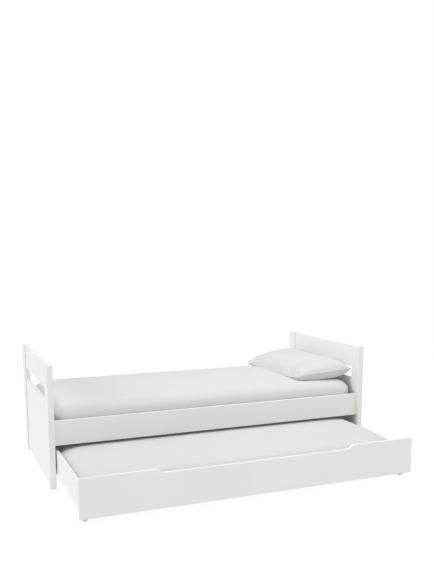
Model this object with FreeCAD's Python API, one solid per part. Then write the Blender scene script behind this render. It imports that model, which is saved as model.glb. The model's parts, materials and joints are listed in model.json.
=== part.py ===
import FreeCAD, Part

import math
import os

# Trundle bed: a single bed for a 900 x 2000 mattress, with a second low bed on
# castors that rolls out from under its front side.
# Millimetres. Z is up, X runs along the bed to the head end, and the trundle
# rolls out towards -Y. The origin is on the floor, at the middle of the
# footprint with the trundle partly rolled out.

Vec = FreeCAD.Vector

# --- Driving dimensions ------------------------------------------------------
BED_LENGTH = 2074.0          # outside of foot end to outside of head end
BED_WIDTH = 980.0            # front of the front posts to back of the rear posts
BED_HEIGHT = 716.0           # top of the posts
PULL_OUT = 592.0             # trundle front, ahead of the front posts

POST_THICK = 35.0            # along X
POST_WIDTH = 87.0            # along Y
GLIDE_THICK = 3.0            # plastic glide under each post

END_THICK = 19.0             # top rails and lower panels of the two ends
END_SET = 8.0                # they lie this far in from the post's outer face
TOP_RAIL_LOW, TOP_RAIL_HIGH = 569.0, 711.0
LOWER_PANEL_LOW, LOWER_PANEL_HIGH = 17.0, 495.0

SIDE_RAIL_THICK = 18.0
SIDE_RAIL_SET = 21.0         # behind the front of the posts
SIDE_RAIL_LOW, SIDE_RAIL_HIGH = 251.0, 395.5

SLAT_COUNT = 12
SLAT_WIDTH, SLAT_THICK = 88.0, 18.0
SLAT_SPREAD = 1996.0         # outside of the first slat to outside of the last
SLAT_END_GAP = 2.0           # from a slat's end to the side rail
SLAT_TOP = 320.0
CLEAT_THICK, CLEAT_HEIGHT = 25.0, 40.0
CLEAT_END_GAP = 70.0         # leaves room for the corner brackets
TAPE_WIDTH, TAPE_THICK = 30.0, 1.2
TAPE_INSET = 210.0           # tape centre line, in from each side rail

BRACKET_HEIGHT, BRACKET_THICK = 46.0, 3.0
BRACKET_RAIL_LEG, BRACKET_POST_LEG = 50.0, 44.0
BRACKET_LIFT = 3.0           # above the side rail's lower edge
BOLT_HEIGHTS = (0.25, 0.75)  # shares of the bracket's height
BOLT_REACH = 0.68            # share of a leg's length, out from the corner

TRAY_LENGTH = 1992.0
TRAY_DEPTH = 946.0
TRAY_THICK = 18.0
TRAY_FRONT_LOW, TRAY_FRONT_HIGH = 28.0, 241.0
TRAY_SIDE_LOW = 87.0
TRAY_FOOT_SIDE_HIGH = 220.0
TRAY_BACK_HIGH = 190.0       # the back panel and the head side are lower
TRAY_HEAD_SIDE_HIGH = 175.0
DIP_DEPTH = 22.0             # hand-hold dip in the front panel's top edge
DIP_TOP_HALF, DIP_FLOOR_HALF = 594.0, 550.0
TRAY_CLEAT = 20.0            # square section
END_BEARER_WIDTH, MID_BEARER_WIDTH = 62.0, 44.0
BASE_THICK = 8.0
BASE_GAP = 1.0

WHEEL_RADIUS, WHEEL_WIDTH = 30.0, 20.0
WHEEL_RIM = 9.0              # depth of tread outside the recessed web
WEB_RECESS = 4.0
HUB_RADIUS = 10.0
AXLE_RADIUS = 4.0
AXLE_CLEARANCE = 0.05
AXLE_HEAD_RADIUS, AXLE_HEAD = 6.5, 2.0
CASTOR_FROM_END = 38.5       # wheel's middle plane, in from the tray's end
CASTOR_FROM_FRONT = 59.0     # wheel centre, in from the tray's front and back
FORK_GAP, FORK_THICK = 1.0, 2.5
FORK_PLATE_X, FORK_PLATE_Y, FORK_PLATE = 40.0, 60.0, 3.0
FORK_EAR_TOP, FORK_EAR_END = 36.0, 18.0
PLATE_SCREW_X, PLATE_SCREW_Y = 14.0, 24.0   # screw places, from the wheel's centre

MATTRESS_LENGTH, MATTRESS_WIDTH, MATTRESS_TOP = 1992.0, 898.0, 482.0
MATTRESS_SHIFT = -5.0        # it lies against the foot end
MATTRESS_CORNER, MATTRESS_EDGE = 85.0, 68.0            # radii in plan and of the long edges
TRAY_MATTRESS_LENGTH, TRAY_MATTRESS_WIDTH, TRAY_MATTRESS_TOP = 1920.0, 898.0, 232.0
TRAY_MATTRESS_CORNER, TRAY_MATTRESS_EDGE = 125.0, 50.0
TRAY_MATTRESS_SHIFT = -17.5  # it lies against the tray's foot side

PILLOW_HEAD_GAP = 3.0        # from the head end's inner face
PILLOW_DEPTH, PILLOW_WIDTH, PILLOW_HEIGHT = 396.0, 836.0, 158.0
PILLOW_SHIFT_Y = 21.0
PILLOW_CORNER = 0.3          # corner radius, as a share of the section's depth
PILLOW_SECTIONS = (          # shares of the height, the depth and the width
    (0.0, 0.78, 0.84), (0.25, 0.96, 0.98), (0.45, 1.0, 1.0), (0.8, 0.84, 0.88), (1.0, 0.5, 0.6))

DOWEL_RADIUS, DOWEL_LENGTH = 4.0, 40.0
RAIL_DOWEL_INSET, PANEL_DOWEL_INSET = 35.0, 50.0       # from the rail's and panel's edges
CLEAT_SCREW_COUNT = 7
SCREW_RADIUS, SCREW_LENGTH, PLATE_SCREW_LENGTH = 2.0, 36.0, 19.0
SCREW_HEAD_RADIUS, SCREW_HEAD = 4.0, 2.4
BOLT_RADIUS, BOLT_LENGTH = 3.0, 14.0
BOLT_HEAD_RADIUS, BOLT_HEAD = 5.5, 3.0
CAM_RADIUS, CAM_DEPTH, CAM_FROM_END = 7.5, 12.5, 24.0
CAM_ABOVE_LOW, CAM_BELOW_HIGH = 45.0, 28.0             # from the back panel's edges
CAM_BOLT_RADIUS, CAM_BOLT_BITE = 3.5, 11.0

ARRIS = 3.0                  # rounded edges of the posts
SMALL_ARRIS = 2.0            # rounded edges of the rails and panels
SOFT_ARRIS = 1.0             # eased edges of hidden timber

# --- Places worked out from the dimensions -----------------------------------
END_X = BED_LENGTH / 2
POST_INNER_X = END_X - POST_THICK
PANEL_OUTER_X = END_X - END_SET
PANEL_INNER_X = PANEL_OUTER_X - END_THICK
PANEL_MID_X = (PANEL_OUTER_X + PANEL_INNER_X) / 2

TRAY_FRONT_Y = -(BED_WIDTH + PULL_OUT) / 2
FRONT_Y = TRAY_FRONT_Y + PULL_OUT
REAR_Y = FRONT_Y + BED_WIDTH
MIDDLE_Y = (FRONT_Y + REAR_Y) / 2
RAIL_INNER_FRONT = FRONT_Y + SIDE_RAIL_SET + SIDE_RAIL_THICK
RAIL_INNER_REAR = REAR_Y - SIDE_RAIL_SET - SIDE_RAIL_THICK
SLAT_LOW = SLAT_TOP - SLAT_THICK

TRAY_X = TRAY_LENGTH / 2
TRAY_INNER_X = TRAY_X - TRAY_THICK
TRAY_BACK_Y = TRAY_FRONT_Y + TRAY_DEPTH
TRAY_INNER_FRONT = TRAY_FRONT_Y + TRAY_THICK
TRAY_INNER_BACK = TRAY_BACK_Y - TRAY_THICK
BASE_LOW = TRAY_SIDE_LOW + TRAY_CLEAT
BASE_TOP = BASE_LOW + BASE_THICK

ENDS = (("foot", -1), ("head", 1))
SIDES = (("front", -1), ("rear", 1))

nodes = {}


# --- Shared shapes -----------------------------------------------------------
def block(x_range, y_range, z_range, ease=0.0):
    """Box between the given limits, with its edges rounded by ease."""
    (x0, x1), (y0, y1), (z0, z1) = sorted(x_range), sorted(y_range), sorted(z_range)
    solid = Part.makeBox(x1 - x0, y1 - y0, z1 - z0, Vec(x0, y0, z0))
    if ease:
        solid = solid.makeFillet(ease, solid.Edges)
    return solid


def rod(start, direction, radius, length):
    """Cylinder from start along direction."""
    return Part.makeCylinder(radius, length, start, direction)


def headed_pin(seat, direction, radius, length, head_radius, head):
    """Screw, bolt or rivet: its head rests on seat, its shank goes along direction."""
    shank = rod(seat, direction, radius, length)
    cap = rod(seat, direction * -1, head_radius, head)
    return shank.fuse(cap).removeSplitter()


def drilled(solid, pins):
    """Solid with a seat cut for every pin."""
    for pin in pins:
        solid = solid.cut(pin)
    return solid


def keep(name, shape):
    """Keep one node; a list of solids becomes a group."""
    if isinstance(shape, list):
        shape = Part.makeCompound(shape)
    nodes[name] = shape


# --- Ends: posts, top rails, lower panels ------------------------------------
def post_y(side):
    """Y limits of a front (-1) or rear (+1) post."""
    if side < 0:
        return FRONT_Y, FRONT_Y + POST_WIDTH
    return REAR_Y - POST_WIDTH, REAR_Y


def end_dowels(end):
    """Dowels that hold one end's top rail and lower panel between its posts."""
    heights = [TOP_RAIL_LOW + RAIL_DOWEL_INSET, TOP_RAIL_HIGH - RAIL_DOWEL_INSET,
               LOWER_PANEL_LOW + PANEL_DOWEL_INSET, (LOWER_PANEL_LOW + LOWER_PANEL_HIGH) / 2,
               LOWER_PANEL_HIGH - PANEL_DOWEL_INSET]
    joints_y = [FRONT_Y + POST_WIDTH, REAR_Y - POST_WIDTH]
    return [rod(Vec(end * PANEL_MID_X, y - DOWEL_LENGTH / 2, z), Vec(0, 1, 0), DOWEL_RADIUS, DOWEL_LENGTH)
            for y in joints_y for z in heights]


def build_ends(bracket_bolts):
    """Posts, rails, panels, their dowels and the glides under the posts."""
    dowels = []
    glides = []
    inner_y = (FRONT_Y + POST_WIDTH, REAR_Y - POST_WIDTH)
    for end_name, end in ENDS:
        pins = end_dowels(end)
        dowels += pins
        post_x = (end * POST_INNER_X, end * END_X)
        panel_x = (end * PANEL_INNER_X, end * PANEL_OUTER_X)
        for side_name, side in SIDES:
            post = block(post_x, post_y(side), (GLIDE_THICK, BED_HEIGHT), ARRIS)
            near = [bolt for bolt in bracket_bolts if post.BoundBox.intersect(bolt.BoundBox)]
            keep(f"{end_name}_post_{side_name}", drilled(post, pins + near))
            glide_mid = Vec(end * (END_X - POST_THICK / 2), sum(post_y(side)) / 2, 0)
            glides.append(rod(glide_mid, Vec(0, 0, 1), POST_THICK / 2 - ARRIS, GLIDE_THICK))
        rail = block(panel_x, inner_y, (TOP_RAIL_LOW, TOP_RAIL_HIGH), SMALL_ARRIS)
        panel = block(panel_x, inner_y, (LOWER_PANEL_LOW, LOWER_PANEL_HIGH), SMALL_ARRIS)
        keep(f"{end_name}_top_rail", drilled(rail, pins))
        keep(f"{end_name}_lower_panel", drilled(panel, pins))
    keep("end_frame_dowels", dowels)
    keep("post_glides", glides)


# --- Corner brackets between the side rails and the posts ---------------------
def corner_bracket(end, side):
    """Steel angle: one leg on the side rail, one on the post. Returns it and its bolts."""
    rail_face = RAIL_INNER_FRONT if side < 0 else RAIL_INNER_REAR
    inward = -side
    z_range = (SIDE_RAIL_LOW + BRACKET_LIFT, SIDE_RAIL_LOW + BRACKET_LIFT + BRACKET_HEIGHT)
    leg_end_x = end * (POST_INNER_X - BRACKET_RAIL_LEG)
    bolted_face = rail_face + inward * BRACKET_THICK
    rail_leg = block((end * POST_INNER_X, leg_end_x), (rail_face, bolted_face), z_range)
    post_leg = block((end * POST_INNER_X, end * (POST_INNER_X - BRACKET_THICK)),
                     (rail_face, rail_face + inward * BRACKET_POST_LEG), z_range)
    bolts = []
    rail_bolt_x = end * (POST_INNER_X - BRACKET_RAIL_LEG * BOLT_REACH)
    post_bolt_y = rail_face + inward * BRACKET_POST_LEG * BOLT_REACH
    for share in BOLT_HEIGHTS:
        height = z_range[0] + BRACKET_HEIGHT * share
        rail_seat = Vec(rail_bolt_x, bolted_face, height)
        post_seat = Vec(end * (POST_INNER_X - BRACKET_THICK), post_bolt_y, height)
        for seat, direction in ((rail_seat, Vec(0, side, 0)), (post_seat, Vec(end, 0, 0))):
            bolts.append(headed_pin(seat, direction, BOLT_RADIUS, BOLT_LENGTH, BOLT_HEAD_RADIUS, BOLT_HEAD))
    angle = rail_leg.fuse(post_leg).removeSplitter()
    return drilled(angle, bolts), bolts


# --- Side rails, slat cleats, slats ------------------------------------------
def build_sides(bracket_bolts):
    """Long side rails and the cleats that carry the slats."""
    screws = []
    cleat_x = POST_INNER_X - CLEAT_END_GAP
    for side_name, side in SIDES:
        inner = RAIL_INNER_FRONT if side < 0 else RAIL_INNER_REAR
        inward = -side
        cleat = block((-cleat_x, cleat_x), (inner, inner + inward * CLEAT_THICK),
                      (SLAT_LOW - CLEAT_HEIGHT, SLAT_LOW), SOFT_ARRIS)
        pins = []
        for step in range(CLEAT_SCREW_COUNT):
            x = -cleat_x + cleat_x * (2 * step + 1) / CLEAT_SCREW_COUNT
            seat = Vec(x, inner + inward * CLEAT_THICK, SLAT_LOW - CLEAT_HEIGHT / 2)
            pins.append(headed_pin(seat, Vec(0, side, 0), SCREW_RADIUS, SCREW_LENGTH,
                                   SCREW_HEAD_RADIUS, SCREW_HEAD))
        rail = block((-POST_INNER_X, POST_INNER_X), (inner, inner + side * SIDE_RAIL_THICK),
                     (SIDE_RAIL_LOW, SIDE_RAIL_HIGH), SMALL_ARRIS)
        near = [bolt for bolt in bracket_bolts if rail.BoundBox.intersect(bolt.BoundBox)]
        keep(f"{side_name}_side_rail", drilled(rail, pins + near))
        keep(f"{side_name}_slat_cleat", drilled(cleat, pins))
        screws += pins
    keep("cleat_screws", screws)


def build_slats():
    """Timber slats across the cleats, with two tapes stapled beneath them."""
    first_x = -(SLAT_SPREAD - SLAT_WIDTH) / 2
    pitch = (SLAT_SPREAD - SLAT_WIDTH) / (SLAT_COUNT - 1)
    slat_y = (RAIL_INNER_FRONT + SLAT_END_GAP, RAIL_INNER_REAR - SLAT_END_GAP)
    for index in range(SLAT_COUNT):
        left = first_x + index * pitch - SLAT_WIDTH / 2
        slat = block((left, left + SLAT_WIDTH), slat_y, (SLAT_LOW, SLAT_TOP), SOFT_ARRIS)
        keep(f"slat_{index + 1:02d}", slat)
    tapes = []
    for middle in (RAIL_INNER_FRONT + TAPE_INSET, RAIL_INNER_REAR - TAPE_INSET):
        tapes.append(block((first_x, -first_x), (middle - TAPE_WIDTH / 2, middle + TAPE_WIDTH / 2),
                           (SLAT_LOW - TAPE_THICK, SLAT_LOW)))
    keep("slat_tapes", tapes)


# --- Trundle tray ------------------------------------------------------------
def dip_side(end):
    """The two tangent arcs from the front panel's top edge down to the dip's floor."""
    run = DIP_TOP_HALF - DIP_FLOOR_HALF
    radius = (run ** 2 + DIP_DEPTH ** 2) / (4 * DIP_DEPTH)
    turn = 2 * math.atan(DIP_DEPTH / run)
    floor = TRAY_FRONT_HIGH - DIP_DEPTH

    def upper(angle):
        across = DIP_TOP_HALF - radius * math.sin(angle)
        return Vec(end * across, TRAY_FRONT_Y, TRAY_FRONT_HIGH - radius * (1 - math.cos(angle)))

    def lower(angle):
        across = DIP_FLOOR_HALF + radius * math.sin(angle)
        return Vec(end * across, TRAY_FRONT_Y, floor + radius * (1 - math.cos(angle)))

    outer_arc = Part.Arc(upper(0), upper(turn / 2), upper(turn)).toShape()
    inner_arc = Part.Arc(lower(turn), lower(turn / 2), lower(0)).toShape()
    return [outer_arc, inner_arc], upper(0), lower(0)


def tray_front_panel():
    """Front panel with the shallow dip along the middle of its top edge."""
    foot_arcs, foot_top, foot_floor = dip_side(-1)
    head_arcs, head_top, head_floor = dip_side(1)
    corners = [foot_top,
               Vec(-TRAY_X, TRAY_FRONT_Y, TRAY_FRONT_HIGH),
               Vec(-TRAY_X, TRAY_FRONT_Y, TRAY_FRONT_LOW),
               Vec(TRAY_X, TRAY_FRONT_Y, TRAY_FRONT_LOW),
               Vec(TRAY_X, TRAY_FRONT_Y, TRAY_FRONT_HIGH),
               head_top]
    edges = [Part.LineSegment(a, b).toShape() for a, b in zip(corners, corners[1:])]
    edges += head_arcs + [Part.LineSegment(head_floor, foot_floor).toShape()] + foot_arcs
    outline = Part.Wire(Part.__sortEdges__(edges))
    panel = Part.Face(outline).extrude(Vec(0, TRAY_THICK, 0))
    return panel.makeFillet(SMALL_ARRIS, panel.Edges)


def cam_fittings():
    """Cam lock in each side panel's inner face, with its bolt into the front or back panel."""
    fittings = []
    heights = (TRAY_SIDE_LOW + CAM_ABOVE_LOW, TRAY_BACK_HIGH - CAM_BELOW_HIGH)
    for _, end in ENDS:
        for panel_face, outward in ((TRAY_INNER_FRONT, -1), (TRAY_INNER_BACK, 1)):
            for height in heights:
                cam_mid = Vec(end * TRAY_INNER_X, panel_face - outward * CAM_FROM_END, height)
                cam = rod(cam_mid, Vec(end, 0, 0), CAM_RADIUS, CAM_DEPTH)
                bolt_mid = Vec(end * (TRAY_X - TRAY_THICK / 2), panel_face - outward * CAM_FROM_END, height)
                bolt = rod(bolt_mid, Vec(0, outward, 0), CAM_BOLT_RADIUS, CAM_FROM_END + CAM_BOLT_BITE)
                fittings.append(cam.fuse(bolt).removeSplitter())
    return fittings


def build_tray_frame():
    """Front, back and side panels, the cleats along the front and back, and the cam fittings."""
    fittings = cam_fittings()
    back_z = (TRAY_SIDE_LOW, TRAY_BACK_HIGH)
    keep("trundle_front_panel", drilled(tray_front_panel(), fittings))
    back = block((-TRAY_X, TRAY_X), (TRAY_INNER_BACK, TRAY_BACK_Y), back_z, SMALL_ARRIS)
    keep("trundle_back_panel", drilled(back, fittings))
    between = (TRAY_INNER_FRONT, TRAY_INNER_BACK)
    for (end_name, end), side_high in zip(ENDS, (TRAY_FOOT_SIDE_HIGH, TRAY_HEAD_SIDE_HIGH)):
        side = block((end * TRAY_INNER_X, end * TRAY_X), between, (TRAY_SIDE_LOW, side_high), SOFT_ARRIS)
        keep(f"trundle_{end_name}_side", drilled(side, fittings))
    keep("trundle_cam_fittings", fittings)
    cleat_x = TRAY_INNER_X - END_BEARER_WIDTH
    cleat_z = (TRAY_SIDE_LOW, BASE_LOW)
    keep("trundle_front_cleat", block((-cleat_x, cleat_x), (TRAY_INNER_FRONT, TRAY_INNER_FRONT + TRAY_CLEAT),
                                      cleat_z, SOFT_ARRIS))
    keep("trundle_back_cleat", block((-cleat_x, cleat_x), (TRAY_INNER_BACK - TRAY_CLEAT, TRAY_INNER_BACK),
                                     cleat_z, SOFT_ARRIS))


def build_tray_base(castor_screws):
    """Bearers across the tray and the three boards that carry the lower mattress."""
    joint_x = TRAY_INNER_X / 3
    middles = (-TRAY_INNER_X + END_BEARER_WIDTH / 2, -joint_x, joint_x, TRAY_INNER_X - END_BEARER_WIDTH / 2)
    for index, middle in enumerate(middles):
        at_end = index in (0, len(middles) - 1)
        half = (END_BEARER_WIDTH if at_end else MID_BEARER_WIDTH) / 2
        inset = 0.0 if at_end else TRAY_CLEAT
        bearer = block((middle - half, middle + half), (TRAY_INNER_FRONT + inset, TRAY_INNER_BACK - inset),
                       (TRAY_SIDE_LOW, BASE_LOW), SOFT_ARRIS)
        near = [screw for screw in castor_screws if bearer.BoundBox.intersect(screw.BoundBox)]
        keep(f"trundle_bearer_{index + 1}", drilled(bearer, near))
    edges = (-TRAY_INNER_X, -joint_x, joint_x, TRAY_INNER_X)
    board_y = (TRAY_INNER_FRONT + BASE_GAP, TRAY_INNER_BACK - BASE_GAP)
    for index, (left, right) in enumerate(zip(edges, edges[1:])):
        board = block((left + BASE_GAP, right - BASE_GAP), board_y, (BASE_LOW, BASE_TOP))
        keep(f"trundle_base_board_{index + 1}", board)


# --- Castors -----------------------------------------------------------------
def castor_spots():
    """Name and wheel centre of each castor."""
    rows = (("front", TRAY_FRONT_Y + CASTOR_FROM_FRONT), ("rear", TRAY_BACK_Y - CASTOR_FROM_FRONT))
    spots = []
    for end_name, end in ENDS:
        for side_name, y in rows:
            centre = Vec(end * (TRAY_X - CASTOR_FROM_END), y, WHEEL_RADIUS)
            spots.append((f"{end_name}_{side_name}", centre))
    return spots


def castor_wheel(centre):
    """Wheel with a rounded tread, recessed webs and a bored hub, turning about X."""
    half = WHEEL_WIDTH / 2
    tyre = rod(Vec(-half, 0, 0), Vec(1, 0, 0), WHEEL_RADIUS, WHEEL_WIDTH)
    rims = [edge for edge in tyre.Edges if edge.Closed]
    wheel = tyre.makeFillet(WEB_RECESS, rims)
    for face_x, outward in ((-half, 1), (half, -1)):
        recess = rod(Vec(face_x, 0, 0), Vec(outward, 0, 0), WHEEL_RADIUS - WHEEL_RIM, WEB_RECESS)
        hub = rod(Vec(face_x, 0, 0), Vec(outward, 0, 0), HUB_RADIUS, WEB_RECESS)
        wheel = wheel.cut(recess.cut(hub))
    bore = rod(Vec(-half, 0, 0), Vec(1, 0, 0), AXLE_RADIUS + AXLE_CLEARANCE, WHEEL_WIDTH)
    wheel = wheel.cut(bore)
    wheel.translate(centre)
    return wheel


def castor_axle(centre):
    """Riveted axle with a head outside each ear of the fork."""
    reach = WHEEL_WIDTH / 2 + FORK_GAP + FORK_THICK
    axle = rod(centre - Vec(reach, 0, 0), Vec(1, 0, 0), AXLE_RADIUS, 2 * reach)
    for outward in (-1, 1):
        seat = centre + Vec(outward * reach, 0, 0)
        axle = axle.fuse(rod(seat, Vec(outward, 0, 0), AXLE_HEAD_RADIUS, AXLE_HEAD))
    return axle.removeSplitter()


def fork_ear(centre, outward):
    """Tapered ear from the fork's plate down past the axle, with a round end."""
    near = centre.x + outward * (WHEEL_WIDTH / 2 + FORK_GAP)
    plate_low = TRAY_SIDE_LOW - FORK_PLATE
    half_top, half_end = FORK_EAR_TOP / 2, FORK_EAR_END / 2
    corners = [Vec(near, centre.y - half_top, plate_low),
               Vec(near, centre.y + half_top, plate_low),
               Vec(near, centre.y + half_end, centre.z),
               Vec(near, centre.y - half_end, centre.z)]
    tip = Vec(near, centre.y, centre.z - half_end)
    edges = [Part.LineSegment(corners[0], corners[1]).toShape(),
             Part.LineSegment(corners[1], corners[2]).toShape(),
             Part.Arc(corners[2], tip, corners[3]).toShape(),
             Part.LineSegment(corners[3], corners[0]).toShape()]
    return Part.Face(Part.Wire(edges)).extrude(Vec(outward * FORK_THICK, 0, 0))


def castor_fork(centre, axle, screws):
    """Pressed steel fork: a plate under the tray's bearer and two ears."""
    plate = block((centre.x - FORK_PLATE_X / 2, centre.x + FORK_PLATE_X / 2),
                  (centre.y - FORK_PLATE_Y / 2, centre.y + FORK_PLATE_Y / 2),
                  (TRAY_SIDE_LOW - FORK_PLATE, TRAY_SIDE_LOW))
    fork = plate.fuse([fork_ear(centre, -1), fork_ear(centre, 1)]).removeSplitter()
    return drilled(fork, [axle] + screws)


def plate_screws(centre):
    """Four screws up through the fork's plate into the bearer."""
    seats = [Vec(centre.x + dx, centre.y + dy, TRAY_SIDE_LOW - FORK_PLATE)
             for dx in (-PLATE_SCREW_X, PLATE_SCREW_X) for dy in (-PLATE_SCREW_Y, PLATE_SCREW_Y)]
    return [headed_pin(seat, Vec(0, 0, 1), SCREW_RADIUS, PLATE_SCREW_LENGTH, SCREW_HEAD_RADIUS, SCREW_HEAD)
            for seat in seats]


def build_castors():
    """Forks, axles, screws and wheels; returns the screws for the bearers' holes."""
    axles = []
    screws = []
    for name, centre in castor_spots():
        axle = castor_axle(centre)
        own_screws = plate_screws(centre)
        keep(f"castor_fork_{name}", castor_fork(centre, axle, own_screws))
        keep(f"castor_wheel_{name}", castor_wheel(centre))
        axles.append(axle)
        screws += own_screws
    keep("castor_axles", axles)
    keep("castor_screws", screws)
    return screws


# --- Soft pieces -------------------------------------------------------------
def rounded_plate(middle, length, width, thick, radius):
    """Plate that stands on middle, with corners of the given radius in plan."""
    plate = Part.makeBox(length, width, thick, middle - Vec(length / 2, width / 2, 0))
    uprights = [edge for edge in plate.Edges if abs(edge.tangentAt(edge.FirstParameter).z) > 0.5]
    return plate.makeFillet(radius, uprights)


def mattress(middle, length, width, thick, corner, edge_radius):
    """Plain mattress: corners rounded in plan, then its top and bottom edges."""
    core = rounded_plate(middle, length, width, thick, corner)
    flat = [edge for edge in core.Edges if edge.BoundBox.ZLength < 1.0]
    return core.makeFillet(edge_radius, flat)


def pillow_ring(middle, depth, width):
    """Rounded-rectangle outline of the pillow at one height."""
    plate = rounded_plate(middle, depth, width, 1.0, PILLOW_CORNER * depth)
    lowest = min(plate.Faces, key=lambda face: face.CenterOfMass.z)
    return lowest.OuterWire


def pillow():
    """Crowned pillow: widest at its seam, and smaller above and below."""
    middle_x = PANEL_INNER_X - PILLOW_HEAD_GAP - PILLOW_DEPTH / 2
    middle = Vec(middle_x, MIDDLE_Y + PILLOW_SHIFT_Y, MATTRESS_TOP)
    rings = []
    for height, depth, width in PILLOW_SECTIONS:
        level = middle + Vec(0, 0, PILLOW_HEIGHT * height)
        rings.append(pillow_ring(level, PILLOW_DEPTH * depth, PILLOW_WIDTH * width))
    return Part.makeLoft(rings, True, True)


def build_soft():
    """Both mattresses and the pillow."""
    bed_middle = Vec(MATTRESS_SHIFT, MIDDLE_Y, SLAT_TOP)
    keep("upper_mattress", mattress(bed_middle, MATTRESS_LENGTH, MATTRESS_WIDTH,
                                    MATTRESS_TOP - SLAT_TOP, MATTRESS_CORNER, MATTRESS_EDGE))
    tray_middle = Vec(TRAY_MATTRESS_SHIFT, (TRAY_INNER_FRONT + TRAY_INNER_BACK) / 2, BASE_TOP)
    keep("trundle_mattress", mattress(tray_middle, TRAY_MATTRESS_LENGTH, TRAY_MATTRESS_WIDTH,
                                      TRAY_MATTRESS_TOP - BASE_TOP, TRAY_MATTRESS_CORNER, TRAY_MATTRESS_EDGE))
    keep("pillow", pillow())


# --- Whole bed ---------------------------------------------------------------
def main():
    bolts = []
    for end_name, end in ENDS:
        for side_name, side in SIDES:
            bracket, own_bolts = corner_bracket(end, side)
            keep(f"rail_bracket_{end_name}_{side_name}", bracket)
            bolts += own_bolts
    keep("bracket_bolts", bolts)
    build_ends(bolts)
    build_sides(bolts)
    build_slats()
    build_tray_frame()
    build_tray_base(build_castors())
    build_soft()
    os.makedirs("parts", exist_ok=True)
    for name, shape in nodes.items():
        shape.exportStep(f"parts/{name}.step")
    print(len(nodes), "nodes; all valid:", all(shape.isValid() for shape in nodes.values()))


main()
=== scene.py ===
import json
import math

import bmesh
import bpy
import numpy as np
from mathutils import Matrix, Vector, noise


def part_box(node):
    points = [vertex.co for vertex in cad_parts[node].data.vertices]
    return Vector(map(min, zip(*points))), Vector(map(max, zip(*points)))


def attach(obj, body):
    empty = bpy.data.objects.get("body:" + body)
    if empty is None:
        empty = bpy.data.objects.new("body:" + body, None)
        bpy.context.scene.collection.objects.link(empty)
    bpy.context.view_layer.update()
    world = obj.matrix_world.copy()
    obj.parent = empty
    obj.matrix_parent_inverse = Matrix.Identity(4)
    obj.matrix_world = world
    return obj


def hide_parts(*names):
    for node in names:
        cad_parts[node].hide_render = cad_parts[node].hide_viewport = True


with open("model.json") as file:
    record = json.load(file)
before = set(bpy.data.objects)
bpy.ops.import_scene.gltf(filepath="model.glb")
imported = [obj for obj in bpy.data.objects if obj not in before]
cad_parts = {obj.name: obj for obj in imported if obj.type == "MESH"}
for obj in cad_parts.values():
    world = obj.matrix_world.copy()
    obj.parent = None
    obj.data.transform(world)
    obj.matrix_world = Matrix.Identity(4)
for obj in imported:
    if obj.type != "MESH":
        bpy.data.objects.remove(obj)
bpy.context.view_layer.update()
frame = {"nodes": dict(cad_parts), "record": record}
scene = bpy.context.scene
nodes = frame["nodes"]

# Everything is in metres, in the CAD's frame: X to the head end, Z up, and the
# trundle rolls out towards -Y. Colours are linear RGB.

WHITE = (1.0, 1.0, 1.0)

# --- Camera and light ---------------------------------------------------------
CAMERA_PLACE = (-1.6555, -4.1747, 1.3507)
CAMERA_YAW = 0.40419          # to the right of +Y
CAMERA_PITCH = -0.14854       # below the horizon
CAMERA_SENSOR = 36.0          # mm, the picture's long side
CAMERA_LENS = 44.58
CAMERA_SHIFT = (-0.01677, 0.11630)
CAMERA_CLIP = 100.0

SKY_LIGHT = 0.63              # what the white room gives as light
BACKDROP_LIGHT = 1.0          # and how bright it looks
SOFTBOXES = (                 # name, place, aimed at, width, height, watts
    ("softbox_top", (0.3, -0.5, 3.4), (0.25, 0.0, 0.3), 3.6, 3.0, 66.0),
    ("softbox_left", (-14.0, 1.2, 6.0), (0.0, 0.2, 0.4), 8.0, 6.0, 470.0),
)

FLOOR_HALF = 14.0
FLOOR_CORNERS = ((-1, -1), (1, -1), (1, 1), (-1, 1))
FLOOR_SINK = 0.0005           # the floor lies this far below the glides and wheels
FLOOR_GLOW = 0.87
# A painted shadow under the bed: the floor's glow drops in an ellipse there, whatever the lamps do
PAINTED_SHADE_GLOW = 0.40             # the floor glows less under the bed
PAINTED_SHADE_PLACE = (0.0, 0.30)
PAINTED_SHADE_REACH = (1.15, 0.70)
PAINTED_SHADE_SPAN = (0.0, 0.8)       # from the shade's edge to where it is full


def make_camera():
    """The camera stands in front of the foot end, at a standing person's height."""
    camera = bpy.data.objects.new("camera", bpy.data.cameras.new("camera"))
    scene.collection.objects.link(camera)
    camera.location = CAMERA_PLACE
    camera.rotation_euler = (math.pi / 2 + CAMERA_PITCH, 0.0, -CAMERA_YAW)
    camera.data.sensor_width = CAMERA_SENSOR
    camera.data.lens = CAMERA_LENS
    camera.data.shift_x, camera.data.shift_y = CAMERA_SHIFT
    camera.data.clip_end = CAMERA_CLIP
    scene.camera = camera


def make_room():
    """A white room: its light on the object, and what the camera sees of it, are set apart."""
    world = bpy.data.worlds.new("studio")
    scene.world = world
    world.use_nodes = True
    tree = world.node_tree
    sky = tree.nodes["Background"]
    backdrop = tree.nodes.new("ShaderNodeBackground")
    for shader, strength in ((sky, SKY_LIGHT), (backdrop, BACKDROP_LIGHT)):
        shader.inputs["Color"].default_value = (*WHITE, 1.0)
        shader.inputs["Strength"].default_value = strength
    path = tree.nodes.new("ShaderNodeLightPath")
    mix = tree.nodes.new("ShaderNodeMixShader")
    tree.links.new(path.outputs["Is Camera Ray"], mix.inputs["Fac"])
    tree.links.new(sky.outputs["Background"], mix.inputs[1])
    tree.links.new(backdrop.outputs["Background"], mix.inputs[2])
    tree.links.new(mix.outputs["Shader"], tree.nodes["World Output"].inputs["Surface"])


def make_softboxes():
    """A large softbox overhead, and a larger one far beyond the foot end."""
    for name, place, target, width, height, watts in SOFTBOXES:
        light = bpy.data.objects.new(name, bpy.data.lights.new(name, "AREA"))
        scene.collection.objects.link(light)
        light.data.shape = "RECTANGLE"
        light.data.size, light.data.size_y = width, height
        light.data.energy = watts
        light.location = place
        aim = Vector(target) - Vector(place)
        light.rotation_euler = aim.to_track_quat("-Z", "Y").to_euler()


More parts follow.
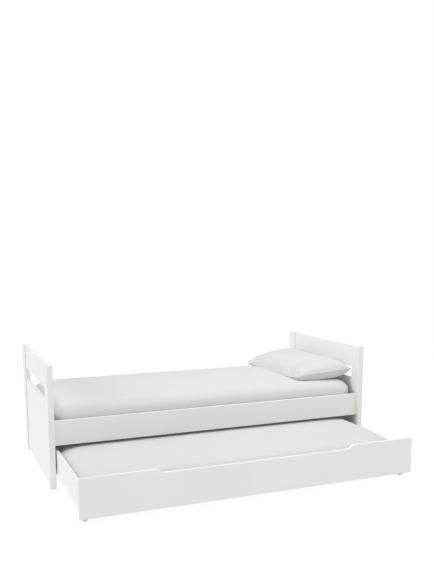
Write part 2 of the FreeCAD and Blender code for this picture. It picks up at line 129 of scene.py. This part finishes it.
def make_floor():
    """A plain pale floor that runs out of view."""
    mesh = bpy.data.meshes.new("floor")
    corners = [(x * FLOOR_HALF, y * FLOOR_HALF, 0.0) for x, y in FLOOR_CORNERS]
    mesh.from_pydata(corners, [], [(0, 1, 2, 3)])
    floor = new_object("floor", mesh)
    floor.location.z = -FLOOR_SINK
    floor.data.materials.append(floor_material())


# --- Materials ----------------------------------------------------------------
NOISE_SPAN = (0.3, 0.7)       # most of a noise texture's values lie between these

# Pairs of colours that a texture varies between
FLOOR_TONES = ((0.19, 0.19, 0.20), (0.21, 0.21, 0.22))
PAINT_TONES = ((0.822, 0.816, 0.800), (0.846, 0.841, 0.826))
PINE_RING_TONES = ((0.76, 0.63, 0.46), (0.60, 0.44, 0.28))
PINE_FIBRE_TONES = ((0.82, 0.80, 0.77), WHITE)
PLYWOOD_TONES = ((0.63, 0.49, 0.33), (0.74, 0.61, 0.44))
PLYWOOD_FLECK_TONES = ((0.80, 0.76, 0.70), WHITE)
STEEL_TONES = ((0.52, 0.53, 0.55), (0.68, 0.69, 0.70))
TAPE_TONES = ((0.62, 0.60, 0.54), (0.76, 0.74, 0.68))
THREAD_TONES = ((0.96, 0.96, 0.96), WHITE)

PLASTIC_DARKER = 0.92         # a moulded surface's darker patches, as a share of its tone
COTTON_DARKER = 0.985
GLIDE_TONE = (0.30, 0.30, 0.295)
WHEEL_TONE = (0.46, 0.46, 0.455)
SHEET_TONE = (0.690, 0.690, 0.692)
CASE_TONE = (0.662, 0.662, 0.664)


class Shader:
    """One node material around a Principled shader, with short calls for its textures."""

    def __init__(self, name):
        self.material = bpy.data.materials.new(name)
        self.material.use_nodes = True
        self.tree = self.material.node_tree
        self.bsdf = self.tree.nodes["Principled BSDF"]
        self.coords = self.tree.nodes.new("ShaderNodeTexCoord").outputs["Object"]
        self.last_normal = None

    def link(self, output, target):
        self.tree.links.new(output, target)

    def value(self, name, number):
        """A constant on the shader's own socket."""
        self.bsdf.inputs[name].default_value = number

    def stretched(self, scale, shift=(0.0, 0.0, 0.0)):
        """Object coordinates, scaled and then shifted."""
        mapping = self.tree.nodes.new("ShaderNodeMapping")
        mapping.inputs["Scale"].default_value = scale
        mapping.inputs["Location"].default_value = shift
        self.link(self.coords, mapping.inputs["Vector"])
        return mapping.outputs["Vector"]

    def texture(self, kind, stretch, numbers):
        """A texture node with its numbers set, over object coordinates that may be stretched."""
        node = self.tree.nodes.new(kind)
        for name, number in numbers.items():
            node.inputs[name].default_value = number
        vector = self.stretched(stretch) if stretch else self.coords
        self.link(vector, node.inputs["Vector"])
        return node

    def spot(self, place, reach):
        """1 at a place on the floor, falling to 0 at an ellipse around it."""
        gradient = self.tree.nodes.new("ShaderNodeTexGradient")
        gradient.gradient_type = "SPHERICAL"
        scale = (1.0 / reach[0], 1.0 / reach[1], 1.0)
        shift = (-place[0] / reach[0], -place[1] / reach[1], 0.0)
        self.link(self.stretched(scale, shift), gradient.inputs["Vector"])
        return gradient.outputs["Fac"]

    def noise(self, scale=1.0, detail=3.0, stretch=None, rough=0.5, distortion=0.0):
        numbers = {"Scale": scale, "Detail": detail, "Roughness": rough, "Distortion": distortion}
        return self.texture("ShaderNodeTexNoise", stretch, numbers).outputs["Fac"]

    def bands(self, direction, scale, distortion, detail, stretch=None):
        numbers = {"Scale": scale, "Distortion": distortion, "Detail": detail}
        node = self.texture("ShaderNodeTexWave", stretch, numbers)
        node.bands_direction = direction
        return node.outputs["Fac"]

    def ramp(self, factor, tones, span=NOISE_SPAN):
        """Goes from the first tone to the second as the factor crosses the span."""
        node = self.tree.nodes.new("ShaderNodeValToRGB")
        for element, place, tone in zip(node.color_ramp.elements, span, tones):
            element.position = place
            element.color = (*tone, 1.0)
        self.link(factor, node.inputs["Fac"])
        return node.outputs["Color"]

    def remap(self, factor, low, high, span=NOISE_SPAN):
        """Goes from low to high as the factor crosses the span."""
        node = self.tree.nodes.new("ShaderNodeMapRange")
        node.inputs["From Min"].default_value, node.inputs["From Max"].default_value = span
        node.inputs["To Min"].default_value = low
        node.inputs["To Max"].default_value = high
        self.link(factor, node.inputs["Value"])
        return node.outputs["Result"]

    def tint(self, colour, veil, share):
        """Multiplies a colour by a share of a second one."""
        node = self.tree.nodes.new("ShaderNodeMix")
        node.data_type = "RGBA"
        node.blend_type = "MULTIPLY"
        node.inputs["Factor"].default_value = share
        self.link(colour, node.inputs["A"])
        self.link(veil, node.inputs["B"])
        return node.outputs["Result"]

    def colour(self, output):
        self.link(output, self.bsdf.inputs["Base Color"])

    def roughness(self, output):
        self.link(output, self.bsdf.inputs["Roughness"])

    def bump(self, height, distance, strength):
        """Adds one layer of relief, distance metres deep."""
        node = self.tree.nodes.new("ShaderNodeBump")
        node.inputs["Distance"].default_value = distance
        node.inputs["Strength"].default_value = strength
        self.link(height, node.inputs["Height"])
        if self.last_normal is not None:
            self.link(self.last_normal, node.inputs["Normal"])
        self.last_normal = node.outputs["Normal"]
        self.link(self.last_normal, self.bsdf.inputs["Normal"])


def along(axis, long_scale, cross_scale):
    """Stretch of a texture whose grain runs along one axis."""
    return tuple(long_scale if letter == axis else cross_scale for letter in "XYZ")


def floor_material():
    """A floor that glows white, as a photographer's table does, with a painted shadow: it glows less in
    an ellipse under the bed.
    """
    shader = Shader("studio_floor")
    shader.colour(shader.ramp(shader.noise(scale=0.6), FLOOR_TONES))
    shader.value("Emission Color", (*WHITE, 1.0))
    # Painted shadow: the glow falls from FLOOR_GLOW to the lower shade glow across the ellipse under the
    # bed
    glow = shader.remap(shader.spot(PAINTED_SHADE_PLACE, PAINTED_SHADE_REACH), FLOOR_GLOW, PAINTED_SHADE_GLOW, PAINTED_SHADE_SPAN)
    shader.link(glow, shader.bsdf.inputs["Emission Strength"])
    shader.value("Roughness", 0.9)
    shader.value("Specular IOR Level", 0.0)
    return shader.material


def paint_material(axis):
    """Satin white lacquer: faint brush-line grain along the board, and a slight orange peel."""
    shader = Shader(f"white_paint_{axis}")
    cloud = shader.noise(scale=2.2, detail=2.0)
    patches = shader.noise(scale=9.0, detail=4.0)
    grain = shader.noise(detail=5.0, stretch=along(axis, 1.5, 210.0))
    orange_peel = shader.noise(scale=620.0, detail=2.0)
    shader.colour(shader.ramp(cloud, PAINT_TONES))
    shader.roughness(shader.remap(patches, 0.40, 0.52))
    shader.bump(grain, distance=0.0004, strength=0.22)
    shader.bump(orange_peel, distance=0.0002, strength=0.16)
    shader.value("Specular IOR Level", 0.4)
    return shader.material


def pine_material(axis):
    """Planed bare pine: growth rings drawn out along the board, with darker late wood."""
    shader = Shader(f"bare_pine_{axis}")
    ring_stretch = along(axis, 0.22, 3.2)
    rings = shader.bands("DIAGONAL", scale=9.0, distortion=5.5, detail=3.0, stretch=ring_stretch)
    fibre = shader.noise(detail=6.0, stretch=along(axis, 4.0, 420.0), rough=0.6)
    ring_colour = shader.ramp(rings, PINE_RING_TONES, span=(0.25, 0.92))
    fibre_colour = shader.ramp(fibre, PINE_FIBRE_TONES, span=(0.3, 0.65))
    shader.colour(shader.tint(ring_colour, fibre_colour, share=0.65))
    shader.roughness(shader.remap(fibre, 0.55, 0.72))
    shader.bump(fibre, distance=0.0005, strength=0.35)
    shader.bump(rings, distance=0.0006, strength=0.12)
    return shader.material


def plywood_material():
    """Sanded birch ply: pale, with short flecks and a slow cloudy figure."""
    shader = Shader("plywood")
    figure = shader.noise(detail=4.0, stretch=(1.2, 9.0, 9.0), rough=0.55, distortion=0.6)
    fleck = shader.noise(detail=2.0, stretch=(35.0, 480.0, 480.0))
    figure_colour = shader.ramp(figure, PLYWOOD_TONES)
    fleck_colour = shader.ramp(fleck, PLYWOOD_FLECK_TONES, span=(0.35, 0.5))
    shader.colour(shader.tint(figure_colour, fleck_colour, share=0.6))
    shader.roughness(shader.remap(figure, 0.5, 0.64))
    shader.bump(fleck, distance=0.0003, strength=0.3)
    return shader.material


def steel_material():
    """Bright zinc plate, slightly cloudy, with fine draw lines."""
    shader = Shader("zinc_steel")
    cloud = shader.noise(scale=60.0, detail=4.0)
    draw_lines = shader.noise(stretch=(900.0, 40.0, 900.0))
    shader.colour(shader.ramp(cloud, STEEL_TONES))
    shader.value("Metallic", 0.92)
    shader.roughness(shader.remap(cloud, 0.26, 0.42))
    shader.bump(draw_lines, distance=0.0001, strength=0.3)
    return shader.material


def plastic_material(name, tone):
    """Moulded nylon with a fine matte texture."""
    shader = Shader(name)
    cloud = shader.noise(scale=35.0)
    grit = shader.noise(scale=1500.0, detail=2.0)
    darker = tuple(PLASTIC_DARKER * part for part in tone)
    shader.colour(shader.ramp(cloud, (darker, tone)))
    shader.roughness(shader.remap(cloud, 0.48, 0.6))
    shader.bump(grit, distance=0.0002, strength=0.4)
    return shader.material


def cotton_material(name, tone, thread_scale, crease_scale):
    """Plain-weave cotton: two crossing sets of threads, slubs and soft creases."""
    shader = Shader(name)
    cloud = shader.noise(scale=7.0, detail=4.0, rough=0.6)
    slub = shader.noise(stretch=(900.0, 35.0, 900.0))
    crease = shader.noise(scale=crease_scale, detail=4.0, rough=0.55, distortion=0.4)
    darker = tuple(COTTON_DARKER * part for part in tone)
    base = shader.ramp(cloud, (darker, tone))
    threads = shader.ramp(slub, THREAD_TONES)
    shader.colour(shader.tint(base, threads, share=0.8))
    shader.value("Specular IOR Level", 0.18)
    shader.roughness(shader.remap(cloud, 0.82, 0.92))
    shader.value("Sheen Weight", 0.12)
    shader.value("Sheen Roughness", 0.5)
    shader.bump(crease, distance=0.0022, strength=0.20)
    for direction in "XY":
        weave = shader.bands(direction, thread_scale, distortion=0.6, detail=1.0)
        shader.bump(weave, distance=0.00025, strength=0.30)
    return shader.material


def tape_material():
    """Woven cotton tape with a herringbone rib."""
    shader = Shader("tape_fabric")
    rib = shader.bands("DIAGONAL", scale=160.0, distortion=0.4, detail=1.0)
    rib_span = (0.2, 0.8)
    shader.colour(shader.ramp(rib, TAPE_TONES, rib_span))
    shader.roughness(shader.remap(rib, 0.8, 0.9))
    shader.bump(rib, distance=0.0004, strength=0.6)
    return shader.material


def dress_frame():
    """Gives every CAD node that stays in view its material, with the grain along its longest side."""
    paint = {axis: paint_material(axis) for axis in "XYZ"}
    pine = {axis: pine_material(axis) for axis in "XY"}
    others = {
        "plywood": plywood_material(),
        "zinc_steel": steel_material(),
        "tape_fabric": tape_material(),
        "glide_plastic": plastic_material("glide_plastic", GLIDE_TONE),
        "wheel_plastic": plastic_material("wheel_plastic", WHEEL_TONE),
    }
    slots = {part["node"]: part["material_slot"] for part in frame["record"]["subparts"]}
    for name, node in nodes.items():
        low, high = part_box(name)
        size = high - low
        axis = "XYZ"[max(range(3), key=lambda i: size[i])]
        slot = slots[name]
        if slot == "white_paint":
            material = paint[axis]
        elif slot == "bare_pine":
            material = pine["Y" if axis == "Y" else "X"]
        elif slot in others:
            material = others[slot]
        else:
            continue
        node.data.materials.clear()
        node.data.materials.append(material)


# --- Soft pieces: shared steps --------------------------------------------------
CLOTH_FRAMES = 20
CLOTH_QUALITY = 6
CLOTH_MASS = 0.25             # kg at each point
CLOTH_SHEAR = 0.5             # shear stiffness as a share of tension stiffness
NO_LENGTH = 1e-9


def new_object(name, mesh):
    piece = bpy.data.objects.new(name, mesh)
    scene.collection.objects.link(piece)
    return piece


def points_of(mesh):
    places = np.zeros(len(mesh.vertices) * 3)
    mesh.vertices.foreach_get("co", places)
    return places.reshape(-1, 3)


def set_points(mesh, places):
    mesh.vertices.foreach_set("co", places.ravel())
    mesh.update()


def shade_smooth(mesh):
    mesh.polygons.foreach_set("use_smooth", [True] * len(mesh.polygons))


def apply_modifiers(piece):
    """Replaces the piece's mesh by what its modifiers make of it."""
    graph = bpy.context.evaluated_depsgraph_get()
    graph.update()
    made = bpy.data.meshes.new_from_object(piece.evaluated_get(graph))
    piece.modifiers.clear()
    old = piece.data
    piece.data = made
    bpy.data.meshes.remove(old)


def remesh(piece, voxel):
    step = piece.modifiers.new("remesh", "REMESH")
    step.mode = "VOXEL"
    step.voxel_size = voxel
    apply_modifiers(piece)


def inflate(piece, pressure, stiffness, bending, cap, shrink=0.0, pinned=""):
    """Cloth simulation under inside pressure, without gravity; no point moves further than cap."""
    before = points_of(piece.data)
    cloth = piece.modifiers.new("cloth", "CLOTH")
    settings = cloth.settings
    settings.quality = CLOTH_QUALITY
    settings.mass = CLOTH_MASS
    settings.tension_stiffness = stiffness
    settings.compression_stiffness = stiffness
    settings.shear_stiffness = stiffness * CLOTH_SHEAR
    settings.bending_stiffness = bending
    settings.use_pressure = True
    settings.uniform_pressure_force = pressure
    settings.shrink_min = shrink
    settings.vertex_group_mass = pinned
    settings.effector_weights.gravity = 0.0
    cloth.point_cache.frame_start = 1
    cloth.point_cache.frame_end = CLOTH_FRAMES
    for number in range(1, CLOTH_FRAMES + 1):
        scene.frame_set(number)
    apply_modifiers(piece)
    scene.frame_set(1)
    move = points_of(piece.data) - before
    length = np.linalg.norm(move, axis=1, keepdims=True)
    move *= np.minimum(1.0, cap / np.maximum(length, NO_LENGTH))
    set_points(piece.data, before + move)


def refine(piece):
    """One level of smooth subdivision, and smooth shading."""
    step = piece.modifiers.new("refine", "SUBSURF")
    step.levels = step.render_levels = 1
    apply_modifiers(piece)
    shade_smooth(piece.data)


def smooth_step(value):
    value = np.clip(value, 0.0, 1.0)
    return value * value * (3.0 - 2.0 * value)


def edge_zone(value, start):
    """0 up to start, then rising smoothly to 1 where the value is 1."""
    return smooth_step((value - start) / (1.0 - start))


# --- Mattresses -----------------------------------------------------------------
MATTRESS_VOXEL = 0.015
MATTRESS_START = 0.004        # the sheet starts this far inside the CAD solid
MATTRESS_CLOTH = {"pressure": 4.0, "stiffness": 18.0, "bending": 6.0, "cap": 0.006}

# How far the middle rises, the corners and the foot edge drop, and the head end's
# front corner is drawn in
UPPER_SHAPE = {"crown": 0.010, "sag": 0.006, "foot_drop": 0.012, "draw_in": 0.0}
TRUNDLE_SHAPE = {"crown": 0.003, "sag": 0.004, "foot_drop": 0.010, "draw_in": 0.044}
FRONT_DROP = 0.006            # the front edge is this much lower than the middle

# Where these start, as shares of the way from the middle to an edge
CORNER_START = (0.86, 0.60)
FRONT_START = 0.78
FOOT_START = 0.87
HEAD_START = 0.60
DRAW_START = 0.15
DOME_POWER = (4, 6)           # how late the crown falls off along X and Y

DENT_LIFT = 0.0005            # the dent's floor over the pillow's lowest point
DENT_EDGE = 0.06              # and its soft edge


def shape_mattress(places, across, crown, sag, foot_drop, draw_in):
    """Crowns a mattress and lowers its edges; across runs from -1 to 1 between its sides."""
    x, y, z = across.T
    dome = (1.0 - np.abs(x) ** DOME_POWER[0]) * (1.0 - np.abs(y) ** DOME_POWER[1])
    corner = edge_zone(np.abs(x), CORNER_START[0]) * edge_zone(np.abs(y), CORNER_START[1])
    drop = sag * corner + FRONT_DROP * edge_zone(-y, FRONT_START) + foot_drop * edge_zone(-x, FOOT_START)
    places[:, 2] += smooth_step(z) * (crown * np.clip(dome, 0.0, 1.0) - drop)
    front = np.clip((-y - DRAW_START) / (1.0 - DRAW_START), 0.0, 1.0)
    places[:, 0] -= draw_in * edge_zone(x, HEAD_START) * front ** 2


def press_dent(places, across, load):
    """Presses the mattress down to the underside of what lies on it."""
    load_low, load_high = (np.array(corner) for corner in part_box(load))
    inside = np.minimum(places - load_low, load_high - places)[:, :2].min(axis=1)
    sunk = np.minimum(places[:, 2], load_low[2] + DENT_LIFT)
    weight = smooth_step(across[:, 2]) * smooth_step(inside / DENT_EDGE)
    places[:, 2] += weight * (sunk - places[:, 2])


def make_mattress(name, node, body, material, shape, load=""):
    """A mattress in a tight cotton sheet, swollen by cloth simulation and then shaped."""
    low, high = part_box(node)
    piece = new_object(name, nodes[node].data.copy())
    piece.data.materials.clear()
    piece.data.materials.append(material)
    middle = np.array((low + high) / 2)
    half = np.array((high - low) / 2)
    places = points_of(piece.data)
    set_points(piece.data, middle + (places - middle) * (half - MATTRESS_START) / half)
    remesh(piece, MATTRESS_VOXEL)
    inflate(piece, **MATTRESS_CLOTH)
    refine(piece)
    places = points_of(piece.data)
    reach = np.abs(places - middle).max(axis=0)
    across = (places - middle) / reach
    places = middle + across * half
    shape_mattress(places, across, **shape)
    if load:
        press_dent(places, across, load)
    set_points(piece.data, places)
    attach(piece, body)
    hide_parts(node)


# --- Pillow -----------------------------------------------------------------------
PILLOW_ROWS, PILLOW_COLUMNS = 112, 54
PILLOW_SEAM = (               # seam corners: inset along X and Y, and height over the lowest point
    ((0.014, 0.059, 0.030), (0.002, 0.007, 0.027)),    # foot side: front, rear
    ((0.002, 0.003, 0.073), (0.003, 0.004, 0.078)))    # head side: front, rear
PILLOW_BOW_LONG = 0.075       # how far the long seams curve inwards
PILLOW_BOW_FRONT, PILLOW_BOW_REAR = -0.045, 0.022      # and the short ones; the front one curves out
PILLOW_FRONT_LIFT = 0.006     # how far the front short seam arches up
PILLOW_FRONT_POWER = 4        # and how near the seam that stays
PILLOW_FOOT_SAG = 0.023       # how far the seam on the foot side hangs down
PILLOW_FOOT_POWER = (3, 4)    # and how near the seam, and its corners, that stays
PILLOW_TOP = (0.073, 3.2, 3.6, 0.53)      # filling above: height, roundness along X and Y, softness
PILLOW_UNDER = (-0.072, 2.5, 5.0, 0.33)   # and below the seam
PILLOW_SETTLE = 0.003         # how gradually the underside flattens
PILLOW_LUMP = 0.003           # unevenness of the filling
PILLOW_LUMP_SCALE = (7.0, 6.0, 7.0)
PILLOW_LUMP_SHIFT = (0.0, 0.0, 3.0)
PILLOW_CLOTH = {"pressure": 2.5, "stiffness": 12.0, "bending": 0.25, "cap": 0.005,
                "shrink": -0.03, "pinned": "sewn"}

PILLOW_FOLDS = (              # corner, angle from +X, start, end, half width, depth, bend
    ((-1, -1), 72.0, 0.00, 0.20, 0.0065, 0.0110, 2.20),
    ((-1, -1), 92.0, 0.02, 0.23, 0.0070, 0.0105, 1.30),
    ((-1, -1), 45.0, 0.03, 0.15, 0.0060, 0.0030, 0.30),
    ((-1, 1), -38.0, 0.02, 0.12, 0.0060, 0.0075, -0.70),
    ((-1, 1), -62.0, 0.03, 0.14, 0.0065, 0.0070, -0.40),
    ((1, -1), 140.0, 0.03, 0.16, 0.0080, 0.0040, -0.50),
    ((1, -1), 158.0, 0.05, 0.20, 0.0090, 0.0030, 0.30),
    ((1, 1), -135.0, 0.03, 0.18, 0.0080, 0.0050, 0.50),
)
FOLD_FACING = 0.35            # folds are full where the surface faces up at least this much
FOLD_RUN_IN = 0.03
FOLD_FADE = 0.6               # share of a fold's length over which it fades out
RIDGE_HEIGHT = 0.55           # the ridge beside a fold, as a share of its depth
RIDGE_OFFSET, RIDGE_WIDTH = 2.1, 1.3      # and of its half width

SEAM_RADIUS = 0.0018
SEAM_STEP = 2                 # the welt follows every second point of the seam
WELT_SIDES = 3                # bevel resolution
WELT_ORDER = 4


def sewn_sheets(columns, rows):
    """Two square sheets sewn together along their edges: X and Y run from -1 to 1, Z is the side."""
    shell = bmesh.new()
    layers = []
    for side in (1, -1):
        layer = []
        for row in range(rows + 1):
            line = []
            for column in range(columns + 1):
                on_edge = row in (0, rows) or column in (0, columns)
                if side < 0 and on_edge:
                    line.append(layers[0][row][column])
                    continue
                lift = 0 if on_edge else side
                line.append(shell.verts.new((2 * column / columns - 1, 2 * row / rows - 1, lift)))
            layer.append(line)
        layers.append(layer)
    for side, layer in zip((1, -1), layers):
        for row in range(rows):
            for column in range(columns):
                quad = [layer[row][column], layer[row][column + 1],
                        layer[row + 1][column + 1], layer[row + 1][column]]
                shell.faces.new(quad if side > 0 else quad[::-1])
    top = layers[0]
    seam = [top[0][c] for c in range(columns)] + [top[r][columns] for r in range(rows)]
    seam += [top[rows][c] for c in range(columns, 0, -1)] + [top[r][0] for r in range(rows, 0, -1)]
    shell.verts.index_update()
    loop = [vertex.index for vertex in seam]
    crease = shell.edges.layers.float.new("crease_edge")
    sewn = set(seam)
    for edge in shell.edges:
        if sewn.issuperset(edge.verts):
            edge[crease] = 1.0
            edge.smooth = False
    mesh = bpy.data.meshes.new("pillow_case")
    shell.to_mesh(mesh)
    shell.free()
    return mesh, loop


def seam_corners(low, high):
    """The four corners of the pillow's seam."""
    corners = {}
    for sx, pair in zip((-1, 1), PILLOW_SEAM):
        for sy, (inset_x, inset_y, lift) in zip((-1, 1), pair):
            x = low.x + inset_x if sx < 0 else high.x - inset_x
            y = low.y + inset_y if sy < 0 else high.y - inset_y
            corners[sx, sy] = np.array((x, y, low.z + lift))
    return corners


def seam_sheet(s, t, corners):
    """The surface that the seam spans: bowed edges between raised corners."""
    bow = np.where(t < 0, PILLOW_BOW_FRONT, PILLOW_BOW_REAR)
    along_x = s * (1.0 - PILLOW_BOW_LONG * (1.0 - t ** 2))
    along_y = t * (1.0 - bow * (1.0 - s ** 2))
    ws, wt = ((along_x + 1) / 2)[:, None], ((along_y + 1) / 2)[:, None]
    places = (1 - ws) * ((1 - wt) * corners[-1, -1] + wt * corners[-1, 1])
    places += ws * ((1 - wt) * corners[1, -1] + wt * corners[1, 1])
    return places


def pillow_places(grid, corners, floor_z):
    """Fills the sheets: a crowned top over the seam's sheet, and a bottom that rests on the mattress."""
    s, t, side = grid.T
    places = seam_sheet(s, t, corners)
    front, foot = np.clip(-t, 0.0, 1.0), np.clip(-s, 0.0, 1.0)
    places[:, 2] += PILLOW_FRONT_LIFT * (1.0 - s ** 2) * front ** PILLOW_FRONT_POWER
    places[:, 2] -= PILLOW_FOOT_SAG * foot ** PILLOW_FOOT_POWER[0] * (1.0 - t ** PILLOW_FOOT_POWER[1])
    filling = np.zeros(len(places))
    for facing, (height, round_x, round_y, softness) in ((1, PILLOW_TOP), (-1, PILLOW_UNDER)):
        full = (1.0 - np.abs(s) ** round_x) ** softness * (1.0 - np.abs(t) ** round_y) ** softness
        filling += np.where(side == facing, full, 0.0)
        places[:, 2] += np.where(side == facing, height * full, 0.0)
    for index, place in enumerate(places):
        lump = noise.noise(Vector(place * PILLOW_LUMP_SCALE + PILLOW_LUMP_SHIFT))
        places[index, 2] += PILLOW_LUMP * lump * filling[index]
    over = (places[:, 2] - floor_z) / PILLOW_SETTLE
    places[:, 2] += PILLOW_SETTLE * np.log1p(np.exp(-over))
    return places


def press_folds(mesh, corners):
    """Presses curved folds into the case, running out from its corners over the top."""
    places = points_of(mesh)
    normals = np.zeros(len(mesh.vertices) * 3)
    mesh.vertices.foreach_get("normal", normals)
    facing_up = smooth_step(normals.reshape(-1, 3)[:, 2] / FOLD_FACING)
    for corner, angle, start, end, width, depth, bend in PILLOW_FOLDS:
        direction = np.array((math.cos(math.radians(angle)), math.sin(math.radians(angle))))
        offset = places[:, :2] - corners[corner][:2]
        ahead = offset @ direction
        aside = offset @ np.array((-direction[1], direction[0])) + bend * ahead ** 2
        fade = FOLD_FADE * (end - start)
        window = smooth_step((ahead - start) / FOLD_RUN_IN) * smooth_step((end - ahead) / fade)
        groove = np.exp(-(aside / width) ** 2)
        ridge = np.exp(-((aside - RIDGE_OFFSET * width) / (RIDGE_WIDTH * width)) ** 2)
        places[:, 2] -= depth * facing_up * window * (groove - RIDGE_HEIGHT * ridge)
    set_points(mesh, places)


def seam_cord(name, points, radius, material):
    """A thin sewn welt along a closed line of points."""
    curve = bpy.data.curves.new(name, "CURVE")
    curve.dimensions = "3D"
    curve.bevel_depth = radius
    curve.bevel_resolution = WELT_SIDES
    spline = curve.splines.new("NURBS")
    spline.points.add(len(points) - 1)
    for place, point in zip(spline.points, points):
        place.co = (*point, 1.0)
    spline.use_cyclic_u = True
    spline.order_u = WELT_ORDER
    line = new_object(name + "_line", curve)
    graph = bpy.context.evaluated_depsgraph_get()
    mesh = bpy.data.meshes.new_from_object(line.evaluated_get(graph))
    bpy.data.objects.remove(line)
    piece = new_object(name, mesh)
    mesh.materials.clear()
    mesh.materials.append(material)
    shade_smooth(mesh)
    return piece


def make_pillow(material):
    """A filled pillow in its case; a cloth simulation puckers the case along its sewn edges."""
    low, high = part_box("pillow")
    mesh, loop = sewn_sheets(PILLOW_COLUMNS, PILLOW_ROWS)
    piece = new_object("pillow_case", mesh)
    corners = seam_corners(low, high)
    set_points(mesh, pillow_places(points_of(mesh), corners, low.z))
    piece.vertex_groups.new(name="sewn").add(loop, 1.0, "REPLACE")
    inflate(piece, **PILLOW_CLOTH)
    piece.vertex_groups.clear()
    places = points_of(piece.data)
    places[:, 2] = np.maximum(places[:, 2], low.z)
    set_points(piece.data, places)
    seam_points = [places[index] for index in loop]
    piece.data.materials.append(material)
    refine(piece)
    press_folds(piece.data, corners)
    welt = seam_cord("pillow_welt", seam_points[::SEAM_STEP], SEAM_RADIUS, material)
    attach(piece, "bed")
    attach(welt, "bed")
    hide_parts("pillow")


# --- Whole scene -------------------------------------------------------------------
def make_scene():
    scene.view_settings.view_transform = "Standard"
    scene.view_settings.look = "None"
    make_camera()
    make_room()
    make_softboxes()
    make_floor()
    dress_frame()
    sheet = cotton_material("mattress_cotton", SHEET_TONE, thread_scale=300.0, crease_scale=5.0)
    case = cotton_material("pillow_cotton", CASE_TONE, thread_scale=340.0, crease_scale=8.0)
    make_mattress("upper_mattress_sheet", "upper_mattress", "bed", sheet, UPPER_SHAPE, load="pillow")
    make_mattress("trundle_mattress_sheet", "trundle_mattress", "trundle", sheet, TRUNDLE_SHAPE)
    make_pillow(case)


make_scene()
